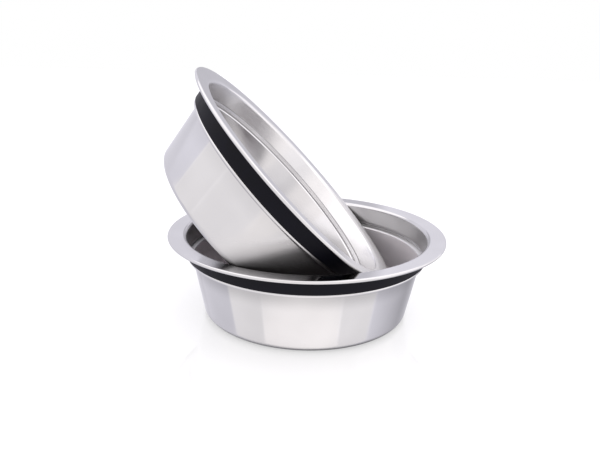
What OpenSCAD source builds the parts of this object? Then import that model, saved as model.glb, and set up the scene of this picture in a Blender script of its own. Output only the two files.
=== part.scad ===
// Pair of pressed steel dog bowls with rubber neck rings, for a double feeder.
// One bowl stands on its base, and the other leans in its mouth.
// Origin: centre of the standing bowl's base on the floor. +X is the side that the leaning mouth faces.

/* [Bowl] */
// Diameter over the rolled rim
rim_d = 235; // [215:1:260]
// Height from the floor to the top of the rim
bowl_h = 71; // [62:1:85]
// Thickness of the steel sheet
sheet_t = 0.8; // [0.6:0.1:1.2]
// Slope of the wall from upright, in degrees
wall_taper = 11.6; // [8:0.2:14]
// Outside radius of the bend between the wall and the base
base_bend = 7; // [4:0.5:10]

/* [Rim and neck] */
// Width of the rim, from its outside to the corner at the top of the neck
rim_w = 15; // [12:0.5:18]
// Drop of the rim's inner edge below its outer edge
rim_dish = 0.7; // [0.3:0.1:1.5]
// Diameter of the roll that closes the rim's edge
roll_d = 2.7; // [2.6:0.1:3.6]
// Turn of the roll, in degrees
roll_turn = 260; // [200:10:270]
// Radius of the bend from the rim into the neck, on the middle of the sheet
neck_bend = 3.2; // [2:0.2:4]
// Height of the neck
neck_h = 14.7; // [12:0.1:18]
// Slope of the neck from upright, in degrees
neck_taper = 10.6; // [6:0.2:14]

/* [Bead and ledge] */
// Reach of the bead beyond the foot of the neck
bead_out = 1.85; // [1.4:0.05:2.4]
// Height of the bead's upper flank
bead_h = 3.2; // [2.5:0.1:4.5]
// Width of the ledge from the bead in to the wall
ledge_w = 4.6; // [3.5:0.1:6]
// Drop of the ledge from the bead to the wall
ledge_h = 1.6; // [1:0.1:3.5]
// Radius of the bends at the neck's foot and at the ledge, on the middle of the sheet
ledge_bend = 1.3; // [0.9:0.1:1.6]
// Radius of the bead's own bend, on the middle of the sheet
bead_bend = 0.9; // [0.7:0.1:1.2]

/* [Rubber ring] */
// Thickness of the rubber
ring_t = 2.4; // [2:0.1:3.4]
// Gap between the rubber and the steel
ring_gap = 0.1; // [0.05:0.05:0.3]
// Depth of the ring's top edge below the corner of the neck
ring_top_drop = 2.8; // [2.6:0.1:4]
// Width of the ring's bottom edge, where it stands on the bead
ring_foot_w = 1.3; // [1.1:0.1:1.8]
// Radius of the ring's outer edges
ring_edge = 0.7; // [0.3:0.1:0.8]

/* [Lean] */
// Angle between the leaning rim and the floor
lean = 46.4; // [42:0.2:52]
// Height that the leaning bowl is held clear of the standing one
touch_gap = 0.25; // [0.15:0.05:0.4]

/* [Hidden] */

$fn = 96;
// Largest turn between two points of a bend, and of the roll
bend_step = 12;
// Spacing of the points that are tested for touch, along a profile and around the axis
touch_run = 1;
touch_turn = 2;
// Halvings of the search for the resting place
touch_rounds = 14;

steel_color = [0.86, 0.86, 0.88];
rubber_color = [0.10, 0.10, 0.11];

rim_r = rim_d / 2;
half_t = sheet_t / 2;
roll_r = roll_d / 2;

// Corners of the middle of the sheet, as [radius, height]
rim_end = [rim_r - roll_r, bowl_h - half_t];
neck_top = [rim_r - rim_w, bowl_h - half_t - rim_dish];
neck_foot = neck_top - neck_h * [tan(neck_taper), 1];
bead_tip = neck_foot + [bead_out, -bead_h];
wall_top = bead_tip - [ledge_w, ledge_h];
wall_foot = [wall_top[0] - (wall_top[1] - half_t) * tan(wall_taper), half_t];
base_centre = [0, half_t];

SHEET = [base_centre, wall_foot, wall_top, bead_tip, neck_foot, neck_top, rim_end];
SHEET_BENDS = [0, base_bend - half_t, ledge_bend, bead_bend, ledge_bend, neck_bend, 0];

function unit(v) = v / norm(v);
function left_of(v) = [-v[1], v[0]];
function spread(v) = atan2(v[1], v[0]);
function turn_between(u, v) = atan2(u[0] * v[1] - u[1] * v[0], u * v);
function arc(centre, r, from, turn) =
    let (steps = ceil(abs(turn) / bend_step))
    [for (k = [0:steps]) centre + r * [cos(from + turn * k / steps), sin(from + turn * k / steps)]];

// A corner b of the path a, b, c, rounded at radius r and moved by d to the left of the path
function rounded(a, b, c, r, d = 0) =
    let (
        into = unit(b - a),
        turn = turn_between(into, unit(c - b)),
        side = sign(turn),
        start = b - into * r * tan(abs(turn) / 2),
        centre = start + side * r * left_of(into)
    )
    arc(centre, r - side * d, spread(start - centre), turn);

// The sheet's outline on one side, from the base's centre out to the end of the roll
function sheet_side(d) =
    let (
        last = len(SHEET) - 1,
        rim_way = unit(rim_end - neck_top),
        roll_centre = rim_end - (roll_r - half_t) * left_of(rim_way)
    )
    concat(
        [base_centre + [0, d]],
        [for (i = [1:last - 1]) each rounded(SHEET[i - 1], SHEET[i], SHEET[i + 1], SHEET_BENDS[i], d)],
        arc(roll_centre, roll_r - half_t + d, spread(left_of(rim_way)), -roll_turn)
    );

sheet_in = sheet_side(half_t);
sheet_out = sheet_side(-half_t);

// The ring lies against the neck and on the bead's upper flank
neck_way = unit(neck_foot - neck_top);
flank_way = unit(bead_tip - neck_foot);
ring_in = half_t + ring_gap;
ring_top_z = neck_top[1] - ring_top_drop;

// The point at height z on the line through p along way, moved by d to the left
function at_height(p, way, d, z) =
    let (q = p + d * left_of(way))
    q + way * (z - q[1]) / way[1];
// The point where that line meets the bisector of the next one, at the same distance d
function inside_corner(p, way, next, d) =
    p + d * (left_of(way) + left_of(next)) / (1 + way * next);

// The ring narrows downward, between its outer face and the flank, and ends where ring_foot_w is left
ring_face_x = at_height(neck_top, neck_way, ring_in + ring_t, neck_foot[1])[0];
flank_x = at_height(neck_foot, flank_way, ring_in, neck_foot[1])[0];
closing = bead_out / bead_h + tan(neck_taper);
ring_foot_z = max(
    neck_foot[1] - (ring_face_x - flank_x - ring_foot_w) / closing,
    bead_tip[1] + bead_bend
);

RING = [
    at_height(neck_top, neck_way, ring_in, ring_top_z),
    inside_corner(neck_foot, neck_way, flank_way, ring_in),
    at_height(neck_foot, flank_way, ring_in, ring_foot_z),
    at_height(neck_top, neck_way, ring_in + ring_t, ring_foot_z),
    at_height(neck_top, neck_way, ring_in + ring_t, ring_top_z)
];
RING_BENDS = [0.3, ledge_bend - ring_in, 0.2, ring_edge, ring_edge];
ring_outline = [
    for (i = [0:len(RING) - 1])
        each rounded(RING[(i + len(RING) - 1) % len(RING)], RING[i], RING[(i + 1) % len(RING)], RING_BENDS[i])
];

module standing_bowl() {
    color(steel_color)
        rotate_extrude()
            polygon(concat(sheet_in, [for (i = [len(sheet_out) - 1:-1:0]) sheet_out[i]]));
}

module standing_ring() {
    color(rubber_color)
        rotate_extrude()
            polygon(ring_outline);
}

// Height of the standing bowl's upper surface at radius r, over the wall below or the neck and rim above
function surface_table(points) = [for (p = points) if (p[0] <= rim_r) p];
wall_table = surface_table([for (p = sheet_in) if (p[1] < wall_top[1] + half_t) p]);
neck_table = surface_table([for (p = sheet_in) if (p[1] > neck_foot[1]) p]);
function surface_z(r) =
    r < neck_table[0][0] ? lookup(r, wall_table) : lookup(r, neck_table);

// Points of the leaning bowl's outside, no further apart than touch_run, about its rim's centre
function filled(a, b) =
    let (steps = ceil(norm(b - a) / touch_run))
    [for (k = [1:steps]) a + (b - a) * k / steps];
outside = concat(
    [for (i = [1:len(sheet_out) - 1]) each filled(sheet_out[i - 1], sheet_out[i])],
    [for (i = [1:len(ring_outline) - 1]) each filled(ring_outline[i - 1], ring_outline[i])],
    [for (p = sheet_in) if (p[0] > rim_end[0]) p]
);
touch_points = [
    for (p = outside)
        for (a = [0:touch_turn:180])
            let (
                x = p[0] * cos(a),
                z = p[1] - bowl_h,
                dz = z * cos(lean) - x * sin(lean)
            )
            if (dz < -rim_r / 5) [x * cos(lean) + z * sin(lean), p[0] * sin(a), dz]
];

// Height of the leaning rim's centre at which its left or right half first touches, with that centre at x
function touch_z(x, side) =
    max([
        for (p = touch_points)
            if (side * (x + p[0]) > 0)
                let (r = norm([x + p[0], p[1]]))
                if (r < rim_r) surface_z(r) - p[2]
    ]);
// The place where both halves touch at once, between two places on either side of it
function resting_x(low, high, rounds) =
    let (x = (low + high) / 2)
    rounds < 1 ? x
    : touch_z(x, -1) > touch_z(x, 1) ? resting_x(x, high, rounds - 1)
    : resting_x(low, x, rounds - 1);

lean_x = resting_x(-rim_r / 4, rim_r / 4, touch_rounds);
lean_z = max(touch_z(lean_x, -1), touch_z(lean_x, 1)) + touch_gap;

module leaning() {
    translate([lean_x, 0, lean_z])
        rotate([0, lean, 0])
            translate([0, 0, -bowl_h])
                children();
}

module leaning_bowl() {
    leaning() standing_bowl();
}

module leaning_ring() {
    leaning() standing_ring();
}

standing_bowl();
standing_ring();
leaning_bowl();
leaning_ring();
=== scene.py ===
# Looks of a pair of polished steel dog bowls with rubber neck rings, one leaning in the other.
# Lengths of the bowls are in millimetres until revolve() turns them into metres.
import math
from collections import namedtuple

import bpy
from mathutils import Matrix, Vector


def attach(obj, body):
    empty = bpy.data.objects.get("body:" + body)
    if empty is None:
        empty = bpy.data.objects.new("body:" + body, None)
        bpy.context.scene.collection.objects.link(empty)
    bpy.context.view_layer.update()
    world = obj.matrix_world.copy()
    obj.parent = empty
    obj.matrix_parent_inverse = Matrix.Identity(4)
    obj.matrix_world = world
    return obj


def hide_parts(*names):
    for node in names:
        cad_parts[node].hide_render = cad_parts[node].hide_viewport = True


MM = 0.001

# The bowl's driving sizes
RIM_D = 235
BOWL_H = 71
SHEET_T = 0.8
WALL_TAPER = 11.6
BASE_BEND = 7
RIM_W = 15
RIM_DISH = 0.7
ROLL_D = 2.7
ROLL_TURN = 260
NECK_BEND = 3.2
NECK_H = 14.7
NECK_TAPER = 10.6
BEAD_OUT = 1.85
BEAD_H = 3.2
LEDGE_W = 4.6
LEDGE_H = 1.6
LEDGE_BEND = 1.3
BEAD_BEND = 0.9
RING_T = 2.4
RING_GAP = 0.1
RING_TOP_DROP = 2.8
RING_FOOT_W = 1.3
RING_EDGE = 0.7
RING_TOP_BEND = 0.3
RING_FOOT_BEND = 0.2
LEAN = 46.4

# Largest turn between two points of a bend, in degrees, and the number of steps round the axis
BEND_STEP = 4
TURN_STEPS = 256
RING_TURN_STEPS = 192
# A point nearer the axis than this is on it
ON_AXIS = 1e-6

HALF_T = SHEET_T / 2
ROLL_R = ROLL_D / 2


def vec(x, z):
    return Vector((x, z))


def left_of(way):
    return vec(-way.y, way.x)


def spread(way):
    return math.atan2(way.y, way.x)


def direction(angle):
    return vec(math.cos(angle), math.sin(angle))


def arc(centre, radius, start, turn, side):
    """Points of an arc, each with the direction to the left of the path there."""
    steps = max(1, math.ceil(abs(turn) / math.radians(BEND_STEP)))
    ways = [direction(start + turn * k / steps) for k in range(steps + 1)]
    return [(centre + radius * way, -side * way) for way in ways]


def rounded(a, b, c, radius, offset=0.0):
    """The corner b of the path a, b, c as an arc, moved by offset to the left of the path."""
    into = (b - a).normalized()
    out = (c - b).normalized()
    turn = math.atan2(into.x * out.y - into.y * out.x, into.dot(out))
    side = math.copysign(1, turn)
    start = b - into * radius * math.tan(abs(turn) / 2)
    centre = start + side * radius * left_of(into)
    return arc(centre, radius - side * offset, spread(start - centre), turn, side)


def tan(degrees):
    return math.tan(math.radians(degrees))


# Corners of the middle of the sheet
RIM_END = vec(RIM_D / 2 - ROLL_R, BOWL_H - HALF_T)
NECK_TOP = vec(RIM_D / 2 - RIM_W, BOWL_H - HALF_T - RIM_DISH)
NECK_FOOT = NECK_TOP - NECK_H * vec(tan(NECK_TAPER), 1)
BEAD_TIP = NECK_FOOT + vec(BEAD_OUT, -BEAD_H)
WALL_TOP = BEAD_TIP - vec(LEDGE_W, LEDGE_H)
WALL_FOOT = vec(WALL_TOP.x - (WALL_TOP.y - HALF_T) * tan(WALL_TAPER), HALF_T)
BASE_CENTRE = vec(0, HALF_T)
SHEET = [BASE_CENTRE, WALL_FOOT, WALL_TOP, BEAD_TIP, NECK_FOOT, NECK_TOP, RIM_END]
SHEET_BENDS = [0, BASE_BEND - HALF_T, LEDGE_BEND, BEAD_BEND, LEDGE_BEND, NECK_BEND, 0]


def sheet_side(offset):
    """One side of the sheet from the base's centre to the end of the roll, each point with its normal."""
    rim_way = (RIM_END - NECK_TOP).normalized()
    roll_centre = RIM_END - (ROLL_R - HALF_T) * left_of(rim_way)
    points = [(BASE_CENTRE + vec(0, offset), vec(0, 1))]
    for i in range(1, len(SHEET) - 1):
        points += rounded(SHEET[i - 1], SHEET[i], SHEET[i + 1], SHEET_BENDS[i], offset)
    roll_start = spread(left_of(rim_way))
    points += arc(roll_centre, ROLL_R - HALF_T + offset, roll_start, -math.radians(ROLL_TURN), -1)
    facing = math.copysign(1, offset)
    return [(point, facing * left) for point, left in points]


def bowl_outline():
    return sheet_side(-HALF_T) + sheet_side(HALF_T)[::-1]


def at_height(point, way, offset, height):
    """The point at a height on the line through a point along way, moved by offset to the left."""
    moved = point + offset * left_of(way)
    return moved + way * (height - moved.y) / way.y


def ring_outline():
    """The rubber ring's closed outline: its inner face lies along the neck and the bead's flank."""
    neck_way = (NECK_FOOT - NECK_TOP).normalized()
    flank_way = (BEAD_TIP - NECK_FOOT).normalized()
    inner = HALF_T + RING_GAP
    outer = inner + RING_T
    top = NECK_TOP.y - RING_TOP_DROP
    face_x = at_height(NECK_TOP, neck_way, outer, NECK_FOOT.y).x
    flank_x = at_height(NECK_FOOT, flank_way, inner, NECK_FOOT.y).x
    closing = BEAD_OUT / BEAD_H + tan(NECK_TAPER)
    foot = max(NECK_FOOT.y - (face_x - flank_x - RING_FOOT_W) / closing, BEAD_TIP.y + BEAD_BEND)
    waist = NECK_FOOT + inner * (left_of(neck_way) + left_of(flank_way)) / (1 + neck_way.dot(flank_way))
    corners = [
        at_height(NECK_TOP, neck_way, inner, top),
        waist,
        at_height(NECK_FOOT, flank_way, inner, foot),
        at_height(NECK_TOP, neck_way, outer, foot),
        at_height(NECK_TOP, neck_way, outer, top),
    ]
    bends = [RING_TOP_BEND, LEDGE_BEND - inner, RING_FOOT_BEND, RING_EDGE, RING_EDGE]
    points = []
    for i, corner in enumerate(corners):
        after = corners[(i + 1) % len(corners)]
        points += rounded(corners[i - 1], corner, after, bends[i])
    return [(point, -left) for point, left in points]


def revolve(name, outline, steps, closed):
    """A mesh of the outline turned about Z, with the outline's normals. A point on the axis is one vertex."""
    vertices, normals, rows = [], [], []
    for point, normal in outline:
        turns = 1 if point.x < ON_AXIS else steps
        rows.append([len(vertices) + k % turns for k in range(steps)])
        for k in range(turns):
            c, s = math.cos(2 * math.pi * k / steps), math.sin(2 * math.pi * k / steps)
            vertices.append((point.x * c * MM, point.x * s * MM, point.y * MM))
            normals.append(Vector((normal.x * c, normal.x * s, normal.y)).normalized())
    faces = []
    for i in range(len(rows) if closed else len(rows) - 1):
        here, after = rows[i], rows[(i + 1) % len(rows)]
        for k in range(steps):
            j = (k + 1) % steps
            corners = [here[k], after[k], after[j], here[j]]
            faces.append(list(dict.fromkeys(corners)))
    mesh = bpy.data.meshes.new(name)
    mesh.from_pydata(vertices, [], [f[::-1] for f in faces])
    mesh.polygons.foreach_set("use_smooth", [True] * len(mesh.polygons))
    mesh.normals_split_custom_set_from_vertices(normals)
    piece = bpy.data.objects.new(name, mesh)
    bpy.context.scene.collection.objects.link(piece)
    return piece


# Rays with which the closeness of other surfaces is felt
OPENNESS_SAMPLES = 12


class Nodes:
    """Short calls for making and joining the shader nodes of one tree."""

    def __init__(self, tree):
        self.tree = tree
        tree.nodes.clear()

    def new(self, kind, **values):
        node = self.tree.nodes.new(kind)
        for key, value in values.items():
            setattr(node, key, value)
        return node

    def join(self, output, socket):
        self.tree.links.new(output, socket)

    def feed(self, socket, value):
        if isinstance(value, bpy.types.NodeSocket):
            self.join(value, socket)
        else:
            socket.default_value = value

    def object_place(self):
        return self.new("ShaderNodeTexCoord").outputs["Object"]

    def parts(self, vector):
        node = self.new("ShaderNodeSeparateXYZ")
        self.join(vector, node.inputs[0])
        return node.outputs

    def math(self, operation, a, b=0.0, c=0.0):
        node = self.new("ShaderNodeMath", operation=operation)
        for socket, value in zip(node.inputs, (a, b, c)):
            self.feed(socket, value)
        return node.outputs[0]

    def mix(self, factor, a, b):
        node = self.new("ShaderNodeMix", data_type="RGBA")
        self.feed(node.inputs["Factor"], factor)
        self.feed(node.inputs["A"], a)
        self.feed(node.inputs["B"], b)
        return node.outputs["Result"]

    def between(self, value, low, high, to_low=0.0, to_high=1.0, smooth=False):
        node = self.new("ShaderNodeMapRange", interpolation_type="SMOOTHSTEP" if smooth else "LINEAR")
        self.feed(node.inputs["Value"], value)
        node.inputs["From Min"].default_value = low
        node.inputs["From Max"].default_value = high
        node.inputs["To Min"].default_value = to_low
        node.inputs["To Max"].default_value = to_high
        return node.outputs["Result"]

    def noise(self, vector, scale, detail, roughness):
        node = self.new("ShaderNodeTexNoise")
        self.feed(node.inputs["Vector"], vector)
        node.inputs["Scale"].default_value = scale
        node.inputs["Detail"].default_value = detail
        node.inputs["Roughness"].default_value = roughness
        return node.outputs["Fac"]

    def openness(self, reach):
        """1 where nothing stands near the surface, and 0 deep between two surfaces."""
        node = self.new("ShaderNodeAmbientOcclusion", samples=OPENNESS_SAMPLES)
        node.inputs["Distance"].default_value = reach
        return node.outputs["AO"]

    def bump(self, height, strength, distance):
        node = self.new("ShaderNodeBump")
        self.feed(node.inputs["Height"], height)
        node.inputs["Strength"].default_value = strength
        node.inputs["Distance"].default_value = distance
        return node.outputs["Normal"]

    def ramp(self, value, stops):
        node = self.new("ShaderNodeValToRGB")
        elements = node.color_ramp.elements
        while len(elements) > 1:
            elements.remove(elements[-1])
        elements[0].position, elements[0].color = stops[0]
        for position, color in stops[1:]:
            elements.new(position).color = color
        self.feed(node.inputs["Fac"], value)
        return node.outputs["Color"]


def new_material(name):
    material = bpy.data.materials.new(name)
    material.use_nodes = True
    return material, Nodes(material.node_tree)


def finish_material(nodes, shader):
    output = nodes.new("ShaderNodeOutputMaterial")
    nodes.join(shader.outputs[0], output.inputs["Surface"])


# Zones of one bowl's steel, in the order of its materials; each zone has its own painted light level
ZONE_NAMES = ("steel", "inside_steel", "neck_steel")
OUTSIDE, INSIDE, NECK = range(len(ZONE_NAMES))
# The neck's inside ends this far below the corner of the neck
NECK_EDGE = 1


def zone_of(face):
    """A face's zone: INSIDE on the base and within the wall, NECK within the neck, and else OUTSIDE."""
    centre, normal = face.center, face.normal
    on_base = math.hypot(centre.x, centre.y) < WALL_FOOT.x * MM
    faces_in = normal.z > 0 if on_base else normal.x * centre.x + normal.y * centre.y < 0
    if not faces_in or centre.z > (NECK_TOP.y - NECK_EDGE) * MM:
        return OUTSIDE
    return INSIDE if centre.z < WALL_TOP.y * MM else NECK


# Noises of the steel, as scale, detail and roughness: the polishing rings, wide clouds and smudges
RINGS = (2600, 3.0, 0.6)
CLOUD = (22, 2.0, 0.5)
SMUDGE = (70, 4.0, 0.6)
RINGS_SHARE = 0.55
SMUDGE_SHARE = 0.45
# The middle of a noise, where most of its values lie
NOISE_MIDDLE = (0.35, 0.65)

# Painted shade on the steel where another surface is near, standing for the dark between the bowls that it
# mirrors: how near, in metres, the painted colour there, and the roughness that is added over a range of
# openness
NEAR_REACH = 0.05
NEAR_PAINTED_SHADE = (0.06, 0.057, 0.057, 1)
NEAR_BLUR = 0.40
BLUR_RANGE = (0.16, 0.56)
# Heights in metres over which the leaning bowl's wall loses its mirror, down into the standing bowl's mouth
MOUTH_RANGE = (0.065, 0.105)
# Height of the band of painted shade under the bead
SHADE_BAND_H = 15
BLACK = (0, 0, 0, 1)

# A zone's tone and finish: the steel's painted colour from dark to light, its roughness, the openness from
# which it is dark with painted shade to where it is free, how dark the painted shade in the band under the
# bead is, and how much it loses its mirror in the mouth
ToneAndFinish = namedtuple("ToneAndFinish", "dark light roughness openness under_bead mouth_blur", defaults=(0, 0))
# Painted light: the one steel is given a lighter or darker tone per zone and per bowl, such as the light
# standing inside
PAINTED_TONES_AND_FINISHES = {
    "standing": (
        ToneAndFinish((0.58, 0.575, 0.58, 1), (0.62, 0.615, 0.62, 1), (0.07, 0.09), (0.11, 0.44), 0.26),
        ToneAndFinish((0.86, 0.83, 0.85, 1), (0.90, 0.87, 0.89, 1), (0.52, 0.60), (0.09, 0.29)),
        ToneAndFinish((0.62, 0.615, 0.62, 1), (0.66, 0.655, 0.66, 1), (0.30, 0.36), (0.11, 0.44)),
    ),
    "leaning": (
        ToneAndFinish((0.58, 0.575, 0.58, 1), (0.62, 0.615, 0.62, 1), (0.07, 0.09), (0.25, 0.65), 0.08, 0.60),
        ToneAndFinish((0.56, 0.555, 0.56, 1), (0.59, 0.585, 0.59, 1), (0.14, 0.19), (0.05, 0.30)),
        ToneAndFinish((0.69, 0.685, 0.69, 1), (0.73, 0.725, 0.73, 1), (0.22, 0.28), (0.11, 0.44)),
    ),
}


def bowl_axes(nodes, lie):
    """Coordinates in a bowl's own axes. Its mesh is stored where the bowl lies."""
    back = nodes.new("ShaderNodeMapping", vector_type="TEXTURE")
    back.inputs["Location"].default_value = lie.to_translation()
    back.inputs["Rotation"].default_value = lie.to_euler()
    nodes.join(nodes.object_place(), back.inputs["Vector"])
    return back.outputs["Vector"]


def polished_steel(name, lie, tone_and_finish):
    """Stainless sheet that was spun and polished: a near mirror with faint rings left by the polishing, with
    painted shade under the bead and between the bowls, and a painted light level per zone.
    """
    material, nodes = new_material(name)
    place = bowl_axes(nodes, lie)
    x, y, z = nodes.parts(place)
    squares = nodes.math("ADD", nodes.math("MULTIPLY", x, x), nodes.math("MULTIPLY", y, y))
    across = nodes.new("ShaderNodeCombineXYZ")
    nodes.join(nodes.math("SQRT", squares), across.inputs[0])
    nodes.join(z, across.inputs[1])
    rings = nodes.noise(across.outputs[0], *RINGS)
    cloud = nodes.noise(place, *CLOUD)
    smudge = nodes.noise(place, *SMUDGE)

    steel = nodes.mix(nodes.between(cloud, *NOISE_MIDDLE), tone_and_finish.dark, tone_and_finish.light)
    # Painted shade: the wall darkens towards black over a band just under the bead
    shade_band = nodes.between(z, (WALL_TOP.y - SHADE_BAND_H) * MM, WALL_TOP.y * MM, smooth=True)
    shade_band = nodes.math("MULTIPLY", shade_band, nodes.math("LESS_THAN", z, WALL_TOP.y * MM))
    steel = nodes.mix(nodes.math("MULTIPLY", shade_band, tone_and_finish.under_bead), steel, BLACK)
    # Painted shade: the steel's colour turns near black where another surface is close
    openness = nodes.openness(NEAR_REACH)
    clear_of_painted_shade = nodes.between(openness, *tone_and_finish.openness, smooth=True)

    rings_part = nodes.math("MULTIPLY", rings, RINGS_SHARE)
    polish = nodes.math("ADD", rings_part, nodes.math("MULTIPLY", smudge, SMUDGE_SHARE))
    gloss = nodes.between(polish, *NOISE_MIDDLE, *tone_and_finish.roughness)
    near_blur = nodes.between(openness, *BLUR_RANGE, NEAR_BLUR, 0, smooth=True)
    # The mesh is stored in the frame, so this is the height above the floor
    height = nodes.parts(nodes.object_place())[2]
    mouth_blur = nodes.between(height, *MOUTH_RANGE, tone_and_finish.mouth_blur, 0, smooth=True)
    blur = nodes.math("MAXIMUM", near_blur, mouth_blur)

    shader = nodes.new("ShaderNodeBsdfPrincipled")
    shader.inputs["Metallic"].default_value = 1
    nodes.join(nodes.mix(clear_of_painted_shade, NEAR_PAINTED_SHADE, steel), shader.inputs["Base Color"])
    nodes.join(nodes.math("ADD", gloss, blur), shader.inputs["Roughness"])
    finish_material(nodes, shader)
    return material


RUBBER_DARK = (0.003, 0.003, 0.006, 1)
RUBBER_LIGHT = (0.005, 0.005, 0.010, 1)
RUBBER_ROUGHNESS = (0.44, 0.56)
RUBBER_SPECULAR = 0.12
# Noises of the rubber, as scale, detail and roughness
GRAIN = (2200, 3.0, 0.6)
BLOOM = (60, 3.0, 0.6)
GRAIN_STRENGTH = 0.25
GRAIN_DEPTH = 0.00006
BLOOM_COLOR_RANGE = (0.35, 0.7)
BLOOM_GLOSS_RANGE = (0.3, 0.7)


def black_rubber():
    """Moulded rubber: satin black, with the mould's fine grain and faint bloom."""
    material, nodes = new_material("black_rubber")
    place = nodes.object_place()
    grain = nodes.noise(place, *GRAIN)
    bloom = nodes.noise(place, *BLOOM)
    color = nodes.mix(nodes.between(bloom, *BLOOM_COLOR_RANGE), RUBBER_DARK, RUBBER_LIGHT)
    shader = nodes.new("ShaderNodeBsdfPrincipled")
    shader.inputs["Specular IOR Level"].default_value = RUBBER_SPECULAR
    nodes.join(color, shader.inputs["Base Color"])
    nodes.join(nodes.between(bloom, *BLOOM_GLOSS_RANGE, *RUBBER_ROUGHNESS), shader.inputs["Roughness"])
    nodes.join(nodes.bump(grain, GRAIN_STRENGTH, GRAIN_DEPTH), shader.inputs["Normal"])
    finish_material(nodes, shader)
    return material


# Rows of the light tent, from its foot to its top: the sine of the elevation where the row starts, and its
# cloths as (azimuth in degrees where the cloth starts, tone, tint). Azimuth 0 is the front and 90 is +X.
# A pair of tones is a cloth that fades from one to the other.
WARM = (1.0, 0.965, 0.965)
COOL = (0.93, 0.914, 0.995)
PLAIN = (1.0, 0.975, 0.994)
# The back cloths of the three lowest rows, on the left and on the right
LOW_LEFT = ((-180, 0.70, COOL), (-140, 0.76, COOL))
LOW_RIGHT = ((84, (0.86, 0.45), COOL), (136, (0.45, 0.65), COOL))
TENT = [
    (-1.0, [*LOW_LEFT, (-92, 0.93, PLAIN), (-51, 1.17, WARM), (43, 0.98, PLAIN), *LOW_RIGHT]),
    (-0.715, [*LOW_LEFT, (-92, 0.92, PLAIN), (-51, 0.93, PLAIN), (43, 0.94, PLAIN), *LOW_RIGHT]),
    (-0.64, [
        *LOW_LEFT, (-92, 0.90, PLAIN), (-51, 0.98, PLAIN), (-30, 1.02, WARM), (43, 0.94, PLAIN), *LOW_RIGHT,
    ]),
    (-0.18, [
        (-180, (0.50, 0.76), COOL), (-158, (0.76, 0.90), COOL), (-102, 0.96, PLAIN), (-66, 0.98, PLAIN),
        (22, 1.08, WARM), (42, 0.98, PLAIN), (56, 1.28, PLAIN), (130, (0.94, 0.54), COOL),
    ]),
    (0.22, [
        (-180, 0.52, COOL), (-173, 0.84, COOL), (-150, 0.93, COOL), (-97, 0.96, PLAIN), (-20, 0.88, PLAIN),
        (50, 1.20, PLAIN), (110, 0.96, COOL), (150, 0.90, COOL), (173, 0.64, COOL),
    ]),
    (0.38, [
        (-180, 0.90, COOL), (-97, 0.98, PLAIN), (-20, 1.10, WARM), (50, 1.20, PLAIN), (130, 1.00, COOL),
    ]),
    (0.62, [
        (-180, 1.40, PLAIN), (-90, 1.42, PLAIN), (-44, 1.27, WARM), (20, 1.42, PLAIN), (90, 1.44, PLAIN),
    ]),
    (0.92, [(-180, 1.18, PLAIN), (-90, 1.22, PLAIN), (0, 1.20, PLAIN), (90, 1.18, PLAIN)]),
]
TENT_LEVEL = 1.25
# Width of half a seam between two cloths, as a share of the whole turn
TENT_FOLD = 0.004
# How much lighter the seam between two cloths is than the lighter of them
TENT_SEAM = 1.07
# Half the height over which a row gives way to the next
ROW_FADE = 0.03
WHITE = (1, 1, 1, 1)


def tinted(tone, tint):
    return tuple(TENT_LEVEL * tone * part for part in tint) + (1,)


def tent_row(nodes, turn, cloths):
    """Colour of one row of cloths, with a narrow and slightly lighter seam between each two."""
    stops = []
    last = None
    for start, tone, tint in cloths:
        first_tone, last_tone = tone if isinstance(tone, tuple) else (tone, tone)
        position = start / 360 + 0.5
        if last is not None:
            seam = TENT_SEAM * max(last[0], first_tone)
            stops += [(position - TENT_FOLD, tinted(*last)), (position, tinted(seam, tint))]
            position += TENT_FOLD
        stops.append((position, tinted(first_tone, tint)))
        last = (last_tone, tint)
    stops.append((1, tinted(*last)))
    return nodes.ramp(turn, stops)


def light_tent():
    """A white tent of cloths round the object. The camera sees plain white behind the object."""
    world = bpy.data.worlds.new("tent")
    bpy.context.scene.world = world
    world.use_nodes = True
    nodes = Nodes(world.node_tree)
    x, y, z = nodes.parts(nodes.new("ShaderNodeTexCoord").outputs["Generated"])
    azimuth = nodes.math("ARCTAN2", x, nodes.math("MULTIPLY", y, -1))
    turn = nodes.math("MULTIPLY_ADD", azimuth, 1 / (2 * math.pi), 0.5)
    color = tent_row(nodes, turn, TENT[0][1])
    for start, cloths in TENT[1:]:
        above = nodes.between(z, start - ROW_FADE, start + ROW_FADE, smooth=True)
        color = nodes.mix(above, color, tent_row(nodes, turn, cloths))
    tent = nodes.new("ShaderNodeBackground")
    nodes.join(color, tent.inputs["Color"])
    plain = nodes.new("ShaderNodeBackground")
    plain.inputs["Color"].default_value = WHITE
    chosen = nodes.new("ShaderNodeMixShader")
    nodes.join(nodes.new("ShaderNodeLightPath").outputs["Is Camera Ray"], chosen.inputs[0])
    nodes.join(tent.outputs[0], chosen.inputs[1])
    nodes.join(plain.outputs[0], chosen.inputs[2])
    output = nodes.new("ShaderNodeOutputWorld")
    nodes.join(chosen.outputs[0], output.inputs["Surface"])


FLOOR_SIZE = 6.0
FLOOR_COLOR = (0.36, 0.36, 0.365, 1)
FLOOR_ROUGHNESS = 0.06
# What the floor adds for the camera alone
FLOOR_LIFT = 0.53


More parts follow.
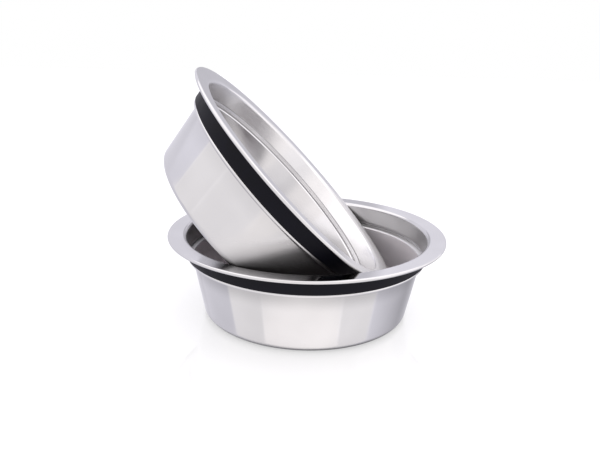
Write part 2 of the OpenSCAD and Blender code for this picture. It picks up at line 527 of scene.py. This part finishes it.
def white_floor():
    """A glossy white board. To the camera it is lifted to the white of the backdrop, and keeps the shadow."""
    material, nodes = new_material("white_board")
    shader = nodes.new("ShaderNodeBsdfPrincipled")
    shader.inputs["Base Color"].default_value = FLOOR_COLOR
    shader.inputs["Roughness"].default_value = FLOOR_ROUGHNESS
    lift = nodes.new("ShaderNodeEmission")
    seen = nodes.new("ShaderNodeLightPath").outputs["Is Camera Ray"]
    nodes.join(nodes.math("MULTIPLY", seen, FLOOR_LIFT), lift.inputs["Strength"])
    both = nodes.new("ShaderNodeAddShader")
    nodes.join(shader.outputs[0], both.inputs[0])
    nodes.join(lift.outputs[0], both.inputs[1])
    finish_material(nodes, both)
    half = FLOOR_SIZE / 2
    corners = [(-half, -half, 0), (half, -half, 0), (half, half, 0), (-half, half, 0)]
    mesh = bpy.data.meshes.new("floor")
    mesh.from_pydata(corners, [], [(0, 1, 2, 3)])
    mesh.materials.append(material)
    floor = bpy.data.objects.new("floor", mesh)
    bpy.context.scene.collection.objects.link(floor)
    floor.visible_glossy = False


LAMP_PLACE = (0.1, -0.2, 1.4)
LAMP_SIZE = 1.2
LAMP_WATTS = 6


def top_lamp():
    """A soft lamp over the bowls, aimed at the origin. The steel doesn't mirror it."""
    data = bpy.data.lights.new("top_lamp", "AREA")
    data.shape = "SQUARE"
    data.size = LAMP_SIZE
    data.energy = LAMP_WATTS
    lamp = bpy.data.objects.new("top_lamp", data)
    lamp.location = LAMP_PLACE
    lamp.rotation_mode = "QUATERNION"
    lamp.rotation_quaternion = (-Vector(LAMP_PLACE)).to_track_quat("-Z", "Y")
    lamp.visible_glossy = False
    bpy.context.scene.collection.objects.link(lamp)


# The camera, from the photograph: where the standing rim's centre lies in its frame, how far away the camera
# is, in metres, the pixels to a metre at that distance, and the camera's elevation and roll
FRAME_W = 600
FRAME_H = 450
RIM_U = 306.9
RIM_V = 229.9
CAMERA_D = 0.550
CAMERA_SCALE = 1163
CAMERA_ELEVATION = math.radians(17.0)
CAMERA_ROLL = math.radians(1.42)
SENSOR_W = 36
CLIP_START = 0.01


def photo_camera():
    focal = CAMERA_SCALE * CAMERA_D
    back = Vector((0, -math.cos(CAMERA_ELEVATION), math.sin(CAMERA_ELEVATION)))
    level = Vector((1, 0, 0))
    upright = back.cross(level)
    right = math.cos(CAMERA_ROLL) * level + math.sin(CAMERA_ROLL) * upright
    up = math.cos(CAMERA_ROLL) * upright - math.sin(CAMERA_ROLL) * level
    across = (RIM_U - FRAME_W / 2) / focal * CAMERA_D
    above = (FRAME_H / 2 - RIM_V) / focal * CAMERA_D
    rim_centre = Vector((0, 0, BOWL_H * MM))
    data = bpy.data.cameras.new("camera")
    data.sensor_width = SENSOR_W
    data.lens = focal / FRAME_W * SENSOR_W
    data.clip_start = CLIP_START
    camera = bpy.data.objects.new("camera", data)
    axes = Matrix((right, up, back)).transposed().to_4x4()
    place = rim_centre - across * right - above * up + CAMERA_D * back
    camera.matrix_world = Matrix.Translation(place) @ axes
    bpy.context.scene.collection.objects.link(camera)
    bpy.context.scene.camera = camera


def leaning_lie():
    """Where the leaning bowl lies: turned by LEAN about Y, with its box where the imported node's box is."""
    turned = Matrix.Rotation(math.radians(LEAN), 4, "Y")
    packed = bpy.data.objects["leaning_bowl"]
    points = [turned.inverted() @ v.co for v in packed.data.vertices]
    across = [p.x for p in points]
    heights = [p.z for p in points]
    origin = Vector(((min(across) + max(across)) / 2, 0, min(heights)))
    return Matrix.Translation(turned @ origin) @ turned


# Bounces between the two bright bowls before a ray is given up
MIRROR_BOUNCES = 14

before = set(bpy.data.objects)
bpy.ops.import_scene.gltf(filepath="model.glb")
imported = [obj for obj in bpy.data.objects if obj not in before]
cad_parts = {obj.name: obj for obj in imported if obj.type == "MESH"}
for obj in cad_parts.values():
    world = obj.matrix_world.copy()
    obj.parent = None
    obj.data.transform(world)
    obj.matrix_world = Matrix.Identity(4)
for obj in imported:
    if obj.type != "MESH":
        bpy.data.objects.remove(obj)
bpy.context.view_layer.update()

rubber = black_rubber()
for which, lie in (("standing", Matrix.Identity(4)), ("leaning", leaning_lie())):
    bowl = revolve(f"{which}_bowl_polished", bowl_outline(), TURN_STEPS, closed=False)
    for name, tone_and_finish in zip(ZONE_NAMES, PAINTED_TONES_AND_FINISHES[which]):
        bowl.data.materials.append(polished_steel(f"{which}_{name}", lie, tone_and_finish))
    for face in bowl.data.polygons:
        face.material_index = zone_of(face)
    ring = revolve(f"{which}_ring_rubber", ring_outline(), RING_TURN_STEPS, closed=True)
    ring.data.materials.append(rubber)
    for piece, node, slot in ((bowl, f"{which}_bowl", "steel"), (ring, f"{which}_ring", "rubber")):
        piece.data.transform(lie)
        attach(piece, "root")
        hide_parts(node)

light_tent()
white_floor()
top_lamp()
photo_camera()
scene = bpy.context.scene
scene.view_settings.view_transform = "Standard"
scene.cycles.max_bounces = MIRROR_BOUNCES
scene.cycles.glossy_bounces = MIRROR_BOUNCES
scene.cycles.min_light_bounces = MIRROR_BOUNCES
